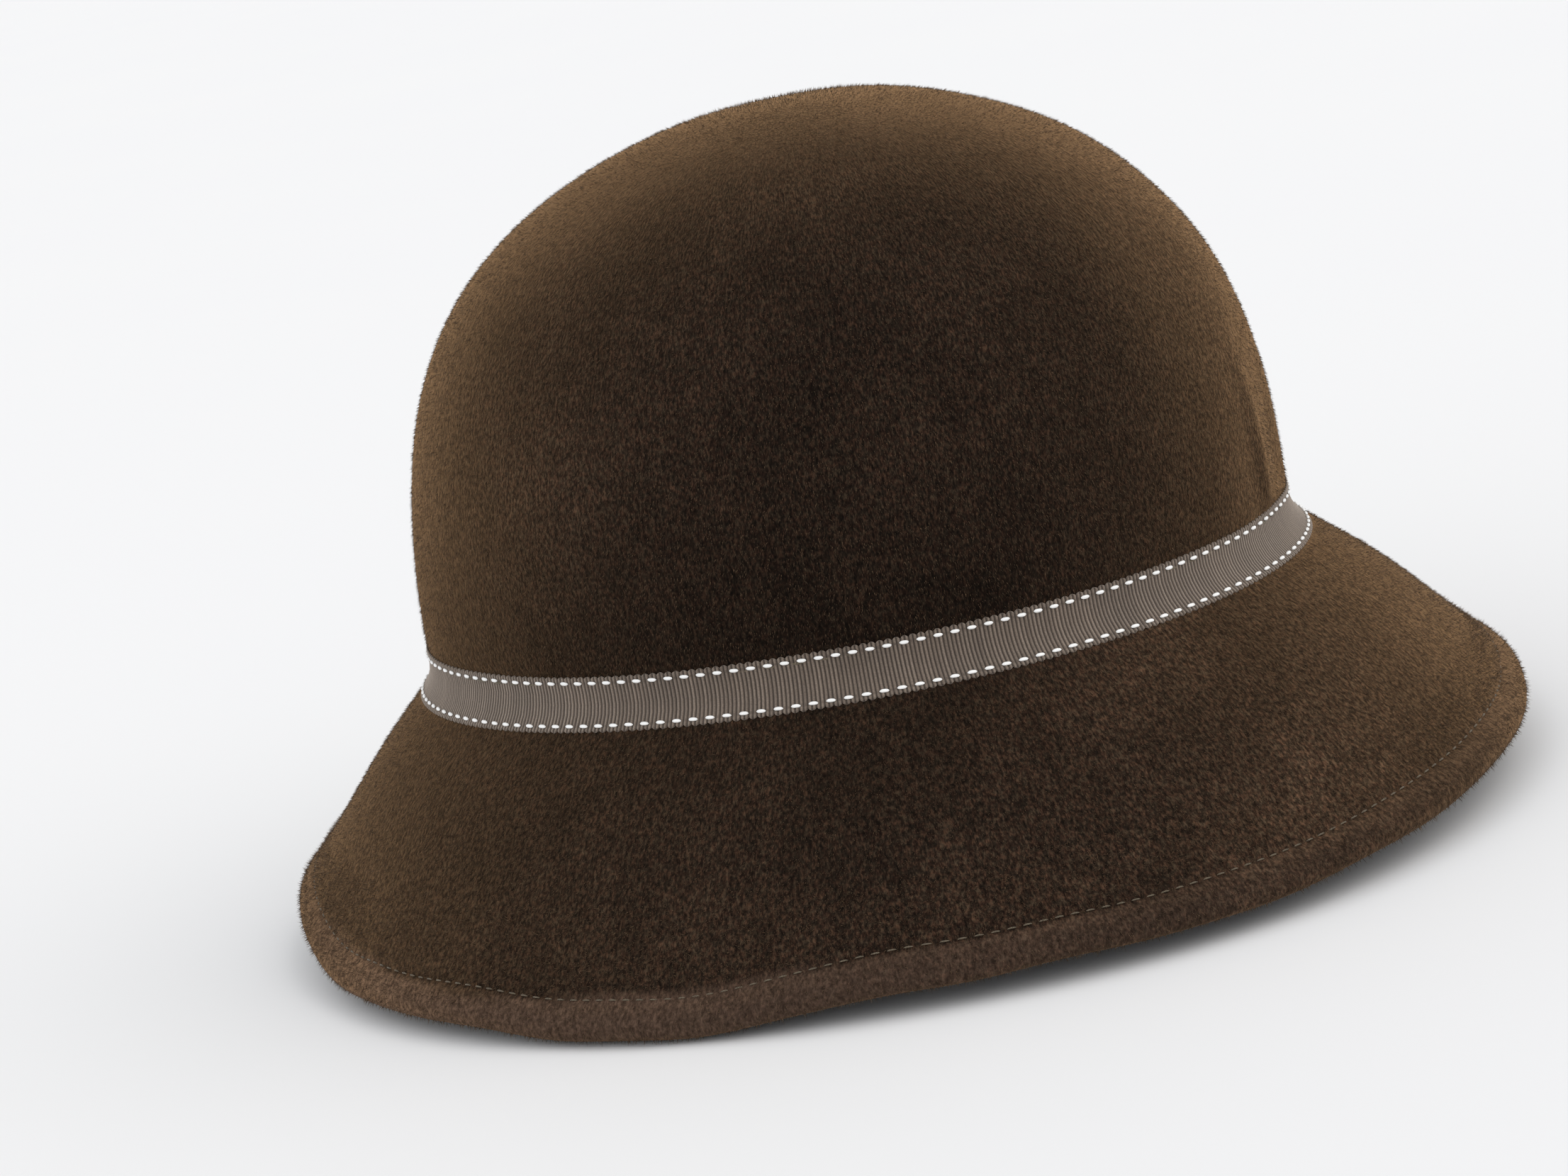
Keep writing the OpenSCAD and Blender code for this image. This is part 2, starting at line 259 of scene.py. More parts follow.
def make_mesh(name, verts, faces, rounded=True, attributes=None):
    """A mesh object whose faces all have the same number of sides, with named values at its vertices."""
    mesh = bpy.data.meshes.new(name)
    faces = np.asarray(faces, np.int32)
    sides = faces.shape[1]
    mesh.vertices.add(len(verts))
    mesh.vertices.foreach_set("co", np.asarray(verts, np.float32).ravel())
    mesh.loops.add(faces.size)
    mesh.loops.foreach_set("vertex_index", faces.ravel())
    mesh.polygons.add(len(faces))
    mesh.polygons.foreach_set("loop_start", np.arange(0, faces.size, sides, dtype=np.int32))
    mesh.polygons.foreach_set("use_smooth", np.full(len(faces), rounded))
    for key, values in (attributes or {}).items():
        values = np.asarray(values, np.float32)
        kind, field = ("FLOAT_VECTOR", "vector") if values.shape[-1] == 3 else ("FLOAT", "value")
        mesh.attributes.new(key, kind, "POINT").data.foreach_set(field, values.ravel())
    mesh.update(calc_edges=True)
    mesh.validate()
    obj = bpy.data.objects.new(name, mesh)
    bpy.context.scene.collection.objects.link(obj)
    return obj


def grid_faces(rows, cols, wrap_rows=False, wrap_cols=False):
    """Faces between the neighbours of a grid of points."""
    i = np.arange(rows if wrap_rows else rows - 1)
    j = np.arange(cols if wrap_cols else cols - 1)
    i, j = np.meshgrid(i, j, indexing="ij")
    i2, j2 = (i + 1) % rows, (j + 1) % cols
    return np.stack([i * cols + j, i * cols + j2, i2 * cols + j2, i2 * cols + j], -1).reshape(-1, 4)


def ring_cap(first, n):
    """Faces that close a ring of n points."""
    j = np.arange(n // 2 - 1)
    return np.stack([first + j, first + j + 1, first + n - 2 - j, first + n - 1 - j], 1)


def piece(obj, material, slot, *nodes):
    """Finishes a piece: its material, its body and the CAD nodes it stands for, which it hides. slot is not
    used.
    """
    obj.data.materials.clear()
    for m in material if isinstance(material, list) else [material]:
        obj.data.materials.append(m)
    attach(obj, "root")
    if nodes:
        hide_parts(*nodes)
    return obj


# ---- Materials ----

class Nodes:
    """A short way to write a node material."""

    def __init__(self, name):
        self.material = bpy.data.materials.new(name)
        self.material.use_nodes = True
        self.tree = self.material.node_tree
        self.shader = self.tree.nodes["Principled BSDF"]

    def add(self, kind, inputs=None, **settings):
        node = self.tree.nodes.new(kind)
        for key, value in settings.items():
            setattr(node, key, value)
        for key, value in (inputs or {}).items():
            self.put(node.inputs[key], value)
        return node

    def put(self, socket, value):
        if isinstance(value, bpy.types.NodeSocket):
            self.tree.links.new(value, socket)
        else:
            socket.default_value = value

    def set(self, **inputs):
        for key, value in inputs.items():
            self.put(self.shader.inputs[key.replace("_", " ")], value)

    def place(self, scale=(1, 1, 1)):
        coords = self.add("ShaderNodeTexCoord").outputs["Object"]
        return self.add("ShaderNodeMapping", {"Vector": coords, "Scale": scale}).outputs["Vector"]

    def noise(self, scale, detail=2.0, rough=0.5, vector=None):
        vector = vector or self.place()
        inputs = {"Vector": vector, "Scale": scale, "Detail": detail, "Roughness": rough}
        return self.add("ShaderNodeTexNoise", inputs).outputs["Fac"]

    def ramp(self, fac, *stops):
        node = self.add("ShaderNodeValToRGB", {"Fac": fac})
        marks = node.color_ramp.elements
        while len(marks) < len(stops):
            marks.new(0.5)
        for mark, (at, colour) in zip(marks, stops):
            mark.position = at
            mark.color = (*colour, 1) if len(colour) == 3 else colour
        return node.outputs["Color"]

    def mix(self, fac, a, b, blend="MIX"):
        node = self.add("ShaderNodeMix", data_type="RGBA", blend_type=blend)
        self.put(node.inputs[0], fac)
        self.put(node.inputs[6], a)
        self.put(node.inputs[7], b)
        return node.outputs[2]

    def varied(self, colour, fac, low, high):
        """colour times a ramp of fac between two stops."""
        return self.mix(1.0, colour, self.ramp(fac, low, high), "MULTIPLY")

    def math(self, operation, a, b=0.0):
        node = self.add("ShaderNodeMath", operation=operation)
        self.put(node.inputs[0], a)
        self.put(node.inputs[1], b)
        return node.outputs[0]

    def scaled(self, vector, scale):
        return self.add("ShaderNodeMapping", {"Vector": vector, "Scale": scale}).outputs["Vector"]

    def ranged(self, value, low, high):
        """0 below low, 1 above high and smooth between."""
        inputs = {"Value": value, "From Min": low, "From Max": high}
        return self.add("ShaderNodeMapRange", inputs, interpolation_type="SMOOTHSTEP").outputs["Result"]

    def blend_value(self, fac, a, b):
        node = self.add("ShaderNodeMix", data_type="FLOAT")
        self.put(node.inputs[0], fac)
        self.put(node.inputs[2], a)
        self.put(node.inputs[3], b)
        return node.outputs[0]

    def attribute(self, name):
        return self.add("ShaderNodeAttribute", attribute_name=name).outputs["Fac"]

    def bump(self, height, strength, distance):
        node = self.add("ShaderNodeBump", {"Height": height, "Strength": strength, "Distance": distance})
        self.put(self.shader.inputs["Normal"], node.outputs["Normal"])


FELT_DARK = (0.0045, 0.0029, 0.0022)
FELT_MID = (0.0165, 0.0102, 0.0073)
FELT_LIGHT = (0.056, 0.0345, 0.0225)
# Painted highlight: the golden colours of the felt's rim where it faces up and is seen at a grazing angle
PAINTED_RIM_LOW, PAINTED_RIM_HIGH = (0.125, 0.071, 0.034), (0.570, 0.330, 0.152)
# Painted light: the lighter colours of the hem band, as of light thrown up from below
HEM_LIT_LOW, HEM_LIT_HIGH = (0.052, 0.032, 0.022), (0.150, 0.094, 0.068)


def felt_material():
    """Brushed velour: tufts that lie down the meridians, soft clumps and patches, a golden painted highlight
    where the felt faces up and is seen at a grazing angle, a hem band painted lighter as painted light, and
    painted shade and light from a mesh attribute."""
    n = Nodes("velour_felt")
    place = n.add("ShaderNodeAttribute", attribute_name="nap_place").outputs["Vector"]
    top = n.attribute("top")

    def grain(around, down):
        lying = n.noise(1.0, 2.0, 0.6, n.scaled(place, (around, around, down)))
        round_top = n.noise(1.0, 2.0, 0.6, n.place((around, around, around)))
        return n.blend_value(top, lying, round_top)

    tuft = grain(1650, 820)
    hair = grain(4200, 1300)
    hue = n.noise(900, 2.0, 0.5)
    clump = n.noise(170, 3.0, 0.55)
    patch = n.noise(26, 3.0, 0.5)
    fleck = n.math("ADD", n.math("MULTIPLY", tuft, 0.62), n.math("MULTIPLY", hair, 0.38))
    colour = n.ramp(fleck, (0.36, FELT_DARK), (0.50, FELT_MID), (0.66, FELT_LIGHT))
    colour = n.varied(colour, hue, (0.40, (1.12, 0.98, 0.93)), (0.60, (0.92, 1.02, 1.00)))
    colour = n.varied(colour, clump, (0.36, (0.85, 0.85, 0.85)), (0.64, (1.17, 1.16, 1.14)))
    colour = n.varied(colour, patch, (0.38, (0.78, 0.78, 0.78)), (0.62, (1.17, 1.16, 1.15)))
    # The hem band is mixed towards lighter colours: painted light, as of light thrown up from below
    hem = n.ramp(fleck, (0.36, HEM_LIT_LOW), (0.64, HEM_LIT_HIGH))
    colour = n.mix(n.math("MULTIPLY", n.attribute("hem"), 0.65), colour, hem)
    # Painted highlight: a golden colour where the felt faces up and is seen at a grazing angle, as light
    # from above
    normal = n.add("ShaderNodeTexCoord").outputs["Normal"]
    lit_from_above = n.add("ShaderNodeSeparateXYZ", {"Vector": normal}).outputs["Z"]
    lit_from_above = n.ranged(lit_from_above, -0.45, 0.15)
    painted_rim_light = n.add("ShaderNodeLayerWeight", {"Blend": 0.28}).outputs["Facing"]
    painted_rim_light = n.math("MULTIPLY", n.math("POWER", painted_rim_light, 1.85), lit_from_above)
    colour = n.mix(painted_rim_light, colour, n.ramp(fleck, (0.41, PAINTED_RIM_LOW), (0.59, PAINTED_RIM_HIGH)))
    # Painted shade and painted light from a mesh attribute darken or lighten the colour
    light = n.math("SUBTRACT", 1.0, n.attribute("painted_shade_and_light"))
    light = n.add("ShaderNodeCombineXYZ", {"X": light, "Y": light, "Z": light}).outputs["Vector"]
    n.set(Base_Color=n.mix(1.0, colour, light, "MULTIPLY"), Roughness=0.95, Specular_IOR_Level=0.06,
          Sheen_Weight=0.45, Sheen_Roughness=0.38, Sheen_Tint=(0.56, 0.34, 0.17, 1))
    n.bump(n.math("ADD", n.math("MULTIPLY", tuft, 0.7), n.math("MULTIPLY", hair, 0.3)), 0.7, 0.0009)
    return n.material


def fibre_material(name, colour):
    n = Nodes(name)
    n.set(Base_Color=(*colour, 1), Roughness=0.8, Specular_IOR_Level=0.15,
          Sheen_Weight=0.3, Sheen_Roughness=0.4, Sheen_Tint=(0.6, 0.42, 0.25, 1))
    return n.material


def ribbon_material(name, valley, crest, pale, painted_rim_colour, tint):
    """Ribbed weave: the rib attribute is 0 in a valley and 1 on a crest. The valley colour is painted shade,
    the pale colour on the crests' tops a painted highlight, and the rim colour a painted highlight at
    grazing angles.
    """
    n = Nodes(name)
    fine = n.noise(1.0, 2.0, 0.6, n.place((3000, 3000, 5200)))
    patch = n.noise(120, 2.0, 0.5)
    colour = n.ramp(n.attribute("rib"), (0.0, valley), (0.75, crest), (1.0, pale))
    colour = n.varied(colour, fine, (0.3, (0.72, 0.70, 0.68)), (0.7, (1.28, 1.27, 1.24)))
    colour = n.varied(colour, patch, (0.3, (0.9, 0.9, 0.9)), (0.7, (1.08, 1.07, 1.06)))
    # Painted highlight: a pale colour where the ribbon is seen at a grazing angle
    painted_rim_light = n.add("ShaderNodeLayerWeight", {"Blend": 0.3}).outputs["Facing"]
    painted_rim_light = n.math("MULTIPLY", n.math("POWER", painted_rim_light, 1.3), 0.95)
    n.set(Base_Color=n.mix(painted_rim_light, colour, (*painted_rim_colour, 1)), Roughness=0.72, Specular_IOR_Level=0.25,
          Sheen_Weight=0.25, Sheen_Roughness=0.5, Sheen_Tint=(*tint, 1))
    n.bump(fine, 0.35, 0.0001)
    return n.material


def thread_material(name, dark, light, rough=0.55):
    n = Nodes(name)
    ply = n.noise(1.0, 1.0, 0.5, n.place((5200, 5200, 5200)))
    n.set(Base_Color=n.ramp(ply, (0.3, dark), (0.7, light)), Roughness=rough, Specular_IOR_Level=0.35,
          Sheen_Weight=0.2, Sheen_Roughness=0.4)
    n.bump(ply, 0.4, 0.00008)
    return n.material


def metal_material(name, dark, light, rough):
    n = Nodes(name)
    streak = n.noise(1.0, 2.0, 0.5, n.place((900, 900, 900)))
    n.set(Base_Color=n.ramp(streak, (0.3, dark), (0.7, light)), Metallic=1.0, Roughness=rough)
    n.bump(streak, 0.2, 0.00005)
    return n.material


felt = felt_material()
fibre_set = [fibre_material("nap_dark", (0.050, 0.031, 0.020)),
             fibre_material("nap_red", (0.082, 0.047, 0.030)),
             fibre_material("nap_olive", (0.084, 0.057, 0.034)),
             fibre_material("nap_light", (0.150, 0.095, 0.055))]
grosgrain = ribbon_material("grosgrain", valley=(0.016, 0.0115, 0.0085), crest=(0.122, 0.094, 0.075),
                            pale=(0.240, 0.194, 0.158), painted_rim_colour=(0.46, 0.385, 0.32), tint=(0.8, 0.74, 0.68))
petersham = ribbon_material("petersham", valley=(0.008, 0.0055, 0.004), crest=(0.030, 0.020, 0.014),
                            pale=(0.050, 0.035, 0.025), painted_rim_colour=(0.07, 0.046, 0.032), tint=(0.42, 0.27, 0.17))
white_thread = thread_material("white_thread", (0.92, 0.92, 0.90), (0.99, 0.99, 0.98), 0.5)
brown_thread = thread_material("brown_thread", (0.058, 0.046, 0.029), (0.170, 0.135, 0.088))
steel = metal_material("millinery_wire", (0.20, 0.19, 0.18), (0.42, 0.40, 0.38), 0.38)
brass = metal_material("crimp_sleeve", (0.50, 0.38, 0.16), (0.74, 0.60, 0.32), 0.32)


# ---- Crown ----

CROWN_AROUND, DOME_ROWS, LINING_ROWS = 480, 120, 34


def dome(t, f, inset):
    """A point of the dome at angle f above the head line, inside the outer face by inset."""
    h = np.sin(f) ** (2 / CROWN_FULL)
    k = np.cos(f)
    x, y = wall(t, -inset)
    return np.stack(np.broadcast_arrays(x * k, y * k + CROWN_LEAN * h * h, (CROWN_H - inset) * h), -1)


def soft_waves(p):
    """Unevenness of the crown, which the ribbon follows too."""
    return 0.3 * MM * waves(p, 0.060, 3)


def crown_relief(p, t):
    """Height of hand-blocked unevenness in the felt: soft waves, a soft crease at the back left, and a
    front that is a little flat at half height and full above it."""
    z = p[..., 2]
    foot = bump(z, 14 * MM, 22 * MM) * np.clip((z - 3 * MM) / (7 * MM), 0, 1)
    crease = 1.3 * plan_bump(t, 67, 2.4) - 1.4 * plan_bump(t, 77, 4.2)
    front = plan_bump(t, -90, 45) * (1.1 * bump(z, 90 * MM, 20 * MM) - 1.3 * bump(z, 42 * MM, 24 * MM))
    back = -0.6 * plan_bump(t, 90, 45) * bump(z, 88 * MM, 22 * MM)
    pressed = -0.35 * (1 - smooth(z, 3.4 * MM, 6 * MM))
    return soft_waves(p) + (crease * foot + front + back + pressed) * MM


def crown_painted_shade_and_light(t, p):
    """Painted shade, mostly low on the crown just above the ribbon, and painted light where it is below 0.
    """
    low, half = bump(p[..., 2], 12 * MM, 26 * MM), bump(p[..., 2], 42 * MM, 24 * MM)
    return (low * (0.42 * plan_bump(t, -5, 55) + 0.30 * plan_bump(t, -80, 28)) - 0.20 * plan_bump(t, 50, 28)
            - 0.45 * half * plan_bump(t, -42, 16))


def build_crown():
    t = np.arange(CROWN_AROUND) * 2 * math.pi / CROWN_AROUND
    top = math.radians(89.6)
    f = top * np.linspace(0, 1, DOME_ROWS) ** 1.25
    outer = dome(t[None, :], f[:, None], 0)
    # The relief moves each point away from a place inside the dome
    out = outer - UP * 0.35 * CROWN_H
    out /= np.linalg.norm(out, axis=-1, keepdims=True)
    relief = crown_relief(outer, np.broadcast_to(t, outer.shape[:2]))
    relief = relief * np.minimum(1, 6 * np.cos(f))[:, None]
    outer = outer + out * relief[..., None]
    foot = math.asin((FOOT_Z / CROWN_H) ** (CROWN_FULL / 2))
    g = foot + (top - foot) * np.linspace(0, 1, LINING_ROWS) ** 1.2
    inner = dome(t[None, :], g[:, None], FELT_T)
    low = outer[:1] - UP * (CORNER_LOW - PLAY)
    rings = np.concatenate([outer[::-1], low, inner])
    # Towards the top the meridians crowd together, and the grain is looked up in space instead
    tops = np.concatenate([f[::-1], [0], g])
    tops = np.clip((np.degrees(tops) - 55) / 20, 0, 1)
    n = CROWN_AROUND
    faces = grid_faces(len(rings), n, wrap_cols=True)[:, ::-1]
    caps = [ring_cap(0, n), ring_cap((len(rings) - 1) * n, n)[:, ::-1]]
    attributes = {"nap_place": nap_place(t, rings).reshape(-1, 3), "top": np.repeat(tops, n),
                  "hem": np.zeros(len(rings) * n), "painted_shade_and_light": crown_painted_shade_and_light(t, rings).ravel()}
    obj = make_mesh("crown", rings.reshape(-1, 3), np.concatenate([faces, *caps]), attributes=attributes)
    return piece(obj, felt, "velour_felt", "crown_felt")


# ---- Brim ----

BRIM_AROUND = 600

# Waves of the brim's edge: plan angle and width in degrees, and lift in millimetres
EDGE_WAVES = ((-98, 14, 0.4), (-67, 9, -2.2), (-45, 9, 1.4), (-20, 9, -2.2), (2, 9, 0.5), (77, 12, -2.2),
              (100, 10, -1.0), (140, 14, 1.0), (175, 16, -1.2), (215, 13, 0.9), (243, 10, -1.0))


def brim_relief(t, p, along):
    """Lift of the brim: waves that grow towards its edge, and a little unevenness."""
    edge = sum(lift * plan_bump(t, at, width) for at, width, lift in EDGE_WAVES)
    front = (1.0 * bump(along, 0.86, 0.14) - 1.1 * bump(along, 0.45, 0.22)) * plan_bump(t, -103, 15)
    return (edge * along ** 1.5 + front + 0.3 * waves(p, 0.045, 8) * along) * MM


def brim_section(t):
    """Rows of points round the brim's section, from the collar over the top, the fold and the hem."""
    _, _, slope, slant = brim_frame(t)
    turn = math.pi / 2 - slope
    r0 = -FELT_T - PLAY
    inner = r0 - COLLAR_T
    zc = -CORNER_LOW - r0 * np.tan(slope) + BRIM_BEND_R * np.tan(turn / 2)
    # The collar inside the crown, and the bend below it
    rows = [at_wall(t, inner, COLLAR_H), at_wall(t, inner + 0.5 * COLLAR_T, COLLAR_H + 0.3 * MM),
            at_wall(t, r0, COLLAR_H)]
    for k in np.linspace(0, 1, 6):
        a = k * turn
        rows.append(at_wall(t, r0 + BRIM_BEND_R * (1 - np.cos(a)), zc - BRIM_BEND_R * np.sin(a)))
    # The top, with a groove under the hem's stitches and a swell outside it
    start = 6 * MM
    for k in np.linspace(0, 1, 34):
        s = start + (slant - EDGE_R - start) * k
        groove = -0.55 * MM * bump(s, slant - HEM_ROW, 0.9 * MM)
        swell = 0.35 * MM * bump(s, slant - 0.45 * HEM_ROW, 3 * MM)
        p = on_brim(t, s, groove + swell + bow(t, s))
        rows.append(raised(p, brim_relief(t, p, k)))
    # The fold at the edge, the underside of the hem and the hem's raw edge
    lift = brim_relief(t, on_brim(t, slant, 0), 1.0)
    for a in np.radians(np.linspace(75, -90, 12)):
        fold = on_brim(t, slant - EDGE_R + EDGE_R * math.cos(a), -EDGE_R + EDGE_R * math.sin(a))
        rows.append(raised(fold, lift))
    low = -2 * EDGE_R
    for k in (0.25, 0.5, 0.75, 1):
        groove = 0.4 * MM * bump(k * HEM_W, HEM_ROW, 1 * MM)
        rows.append(raised(on_brim(t, slant - EDGE_R - k * (HEM_W - EDGE_R), low + groove), lift))
    rows.append(raised(on_brim(t, slant - HEM_W - 0.3 * MM, low + 0.5 * HEM_T), lift))
    rows.append(raised(on_brim(t, slant - HEM_W, low + HEM_T), lift))
    # The underside, back to the collar
    for s in (HEM_W - 1 * MM, HEM_W + 0.5 * MM, HEM_W + 1.5 * MM):
        rows.append(raised(on_brim(t, slant - s, -FELT_T), lift))
    for k in (0.72, 0.6, 0.48, 0.36, 0.24, 0.14):
        p = on_brim(t, k * slant, bow(t, k * slant) - FELT_T)
        rows.append(raised(p, brim_relief(t, p, k)))
    rows += [on_brim(t, 3 * MM, -FELT_T), at_wall(t, inner + 0.6 * MM, 0.6 * MM - CORNER_LOW),
             at_wall(t, inner, 2.6 * MM - CORNER_LOW)]
    return np.stack(rows)


def build_brim():
    t = np.arange(BRIM_AROUND) * 2 * math.pi / BRIM_AROUND
    rings = brim_section(t)
    faces = grid_faces(len(rings), BRIM_AROUND, wrap_rows=True, wrap_cols=True)[:, ::-1]
    _, _, _, slant = brim_frame(t)
    from_edge = np.linalg.norm(rings - on_brim(t, slant, -EDGE_R), axis=-1)
    # hem marks the hem band, which the felt's material paints lighter, as painted light
    hem = np.clip((HEM_ROW - from_edge) / MM + 0.5, 0, 1)
    near = bump(from_edge, 16 * MM, 15 * MM)
    # Painted shade (above 0) and painted light (below 0) in patches round the brim, weaker on the hem band
    painted_shade_and_light = (0.40 * plan_bump(t, -80, 32) - (0.45 + 0.6 * near) * plan_bump(t, 33, 16)
            - 0.10 * plan_bump(t, 66, 14) + 0.32 * plan_bump(t, 92, 18)
            - 0.38 * plan_bump(t, -28, 42) * near)
    painted_shade_and_light = painted_shade_and_light * (1 - 0.55 * hem) - 0.35 * plan_bump(t, -58, 14) * hem
    # The hem band's painted light is weaker between the wearer's left and the back
    hem = hem * (1 - 0.8 * plan_bump(t, 38, 44))
    attributes = {"nap_place": nap_place(t, rings).reshape(-1, 3), "top": np.zeros(hem.size),
                  "hem": hem.ravel(), "painted_shade_and_light": painted_shade_and_light.ravel()}
    obj = make_mesh("brim", rings.reshape(-1, 3), faces, attributes=attributes)
    return piece(obj, felt, "velour_felt", "brim_felt")


# ---- Nap: short fibres that stand on the felt ----

def nap(name, source, count, keep, length, width, lean):
    """Thin closed spikes on the faces of source that keep() accepts, leaning down the meridians."""
    mesh = source.data
    mesh.calc_loop_triangles()
    tris = np.zeros(len(mesh.loop_triangles) * 3, np.int32)
    mesh.loop_triangles.foreach_get("vertices", tris)
    tris = tris.reshape(-1, 3)
    co = np.zeros(len(mesh.vertices) * 3)
    mesh.vertices.foreach_get("co", co)
    co = co.reshape(-1, 3)
    a, b, c = co[tris[:, 0]], co[tris[:, 1]], co[tris[:, 2]]
    cross = np.cross(b - a, c - a)
    area = np.linalg.norm(cross, axis=1)
    normal = cross / np.maximum(area, 1e-15)[:, None]
    weight = area * keep((a + b + c) / 3, normal)
    pick = rng.choice(len(tris), count, p=weight / weight.sum())
    u, v = rng.random((2, count, 1))
    flip = u + v > 1
    u, v = np.where(flip, 1 - u, u), np.where(flip, 1 - v, v)
    root = a[pick] * (1 - u - v) + b[pick] * u + c[pick] * v
    n = normal[pick]
    down = n * n[:, 2:3] - UP
    down /= np.maximum(np.linalg.norm(down, axis=1, keepdims=True), 0.2)
    way = n + down * lean + rng.normal(0, 0.30, (count, 3))
    way /= np.linalg.norm(way, axis=1, keepdims=True)
    size = length * rng.uniform(0.5, 1.25, (count, 1))
    side = np.cross(way, rng.normal(size=(count, 3)))
    side /= np.linalg.norm(side, axis=1, keepdims=True)
    other = np.cross(way, side)
    # The roots lie a little below the felt's face
    base = root - n * 0.2 * MM
    corners = [base + width / 2 * (math.cos(k) * side + math.sin(k) * other) for k in (0, 2.1, 4.2)]
    verts = np.stack([*corners, root + way * size], 1).reshape(-1, 3)
    i = np.arange(count)[:, None] * 4
    faces = np.concatenate([i + [0, 1, 3], i + [1, 2, 3], i + [2, 0, 3], i + [2, 1, 0]], 1).reshape(-1, 3)
    obj = make_mesh(name, verts, faces)
    piece(obj, fibre_set, "velour_felt")
    tone = rng.choice(4, count, p=(0.30, 0.26, 0.26, 0.18)).astype(np.int32)
    obj.data.polygons.foreach_set("material_index", np.repeat(tone, 4))
    return obj


# ---- Ribbons ----

def ribbed_strip(name, section, thickness, start, length, rows, pinched, rib_pitch, rib_height, scallop,
                 *finish):
    """A ribbed ribbon round the head oval, whose end climbs over its own start.

    section(t, across, off) gives its points, with across running from -0.5 to 0.5 in rows. The rows that are
    pinched in by stitches lie lower, and their rib attribute is lower too, as painted shade. scallop is the
    depth of the loops along its edges, as a share of half its width, and each loop is two ribs long.
    """
    per_rib = 5
    ribs = int(round(length / rib_pitch))
    cols = ribs * per_rib + 1
    along = np.linspace(0, length, cols)
    t = even(odd(start, *HEAD_OVAL) + along / HEAD_LINE * 2 * math.pi, *HEAD_OVAL)
    phase = np.arange(cols) / per_rib
    rib = np.abs(np.sin(math.pi * phase)) ** 0.85
    loop = np.abs(np.sin(math.pi * phase / 2)) ** 0.7
    shade = np.repeat(rng.uniform(0.86, 1.0, ribs + 1), per_rib)[:cols]
    height = smooth(along, HEAD_LINE - LAP_RAMP, HEAD_LINE) * (thickness + PLAY)
    outer, inner, attribute = [], [], []
    for a in rows:
        at_edge = abs(a) == 0.5
        wide = a * (1 - scallop * (1 - loop) * at_edge)
        sunk = 0.08 * MM * at_edge + 0.06 * MM * (abs(a) in pinched)
        outer.append(section(t, wide, thickness - (1 - rib) * rib_height - sunk + height))
        inner.insert(0, section(t, wide, height))
        # The rib attribute: painted shade in the valleys and on the pinched rows, painted highlight on the
        # crests' tops
        attribute.append(rib * shade * (0.75 if abs(a) in pinched else 1.0))
    ring = np.stack(outer + inner)
    attribute = np.concatenate([np.stack(attribute), np.zeros((len(rows), cols))])
    verts = ring.transpose(1, 0, 2).reshape(-1, 3)
    n = len(ring)
    faces = grid_faces(cols, n, wrap_cols=True)
    caps = [ring_cap(0, n)[:, ::-1], ring_cap((cols - 1) * n, n)]
    obj = make_mesh(name, verts, np.concatenate([faces, *caps]), attributes={"rib": attribute.T})
    return piece(obj, *finish)


def band_sink(t, s):
    """How the ribbon follows the crown's waves and lies pressed into its nap."""
    felt_at = band_path(t, s, 0)
    return smooth(felt_at[..., 2], -CORNER_LOW, 1.5 * MM) * (soft_waves(felt_at) - 0.25 * MM)


def past_join(length):
    """Plan angle of the place that lies length past the ribbon's join."""
    return even(odd(JOIN_ANGLE, *HEAD_OVAL) + length / HEAD_LINE * 2 * math.pi, *HEAD_OVAL)


def build_band():
    length = HEAD_LINE + LAP_LEN

    def section(t, across, off):
        s = band_mid(t) + BAND_W * across
        return band_path(t, s, BAND_GAP + off + band_sink(t, s))

    row = 0.5 - ROW_INSET / BAND_W
    rows = (-0.5, -0.46, -0.425, -row, -0.35, -0.18, 0, 0.18, 0.35, row, 0.425, 0.46, 0.5)
    obj = ribbed_strip("hat_ribbon", section, BAND_T, JOIN_ANGLE, length, rows, (row,),
                       RIB_PITCH, 0.24 * MM, 0.10, grosgrain, "grosgrain", "hat_band")
    return obj


def build_sweatband():
    length = HEAD_LINE + SWEAT_LAP

    def section(t, across, off):
        return at_wall(t, SWEAT_OUTER - off, SWEAT_LOW + SWEAT_W * (0.5 + across))

    rows = tuple(np.linspace(-0.5, 0.5, 11))
    obj = ribbed_strip("sweat_ribbon", section, SWEAT_T, math.pi / 2, length, rows, (),
                       1.1 * MM, 0.12 * MM, 0.02, petersham, "petersham", "sweatband")
    return obj


# ---- Threads ----

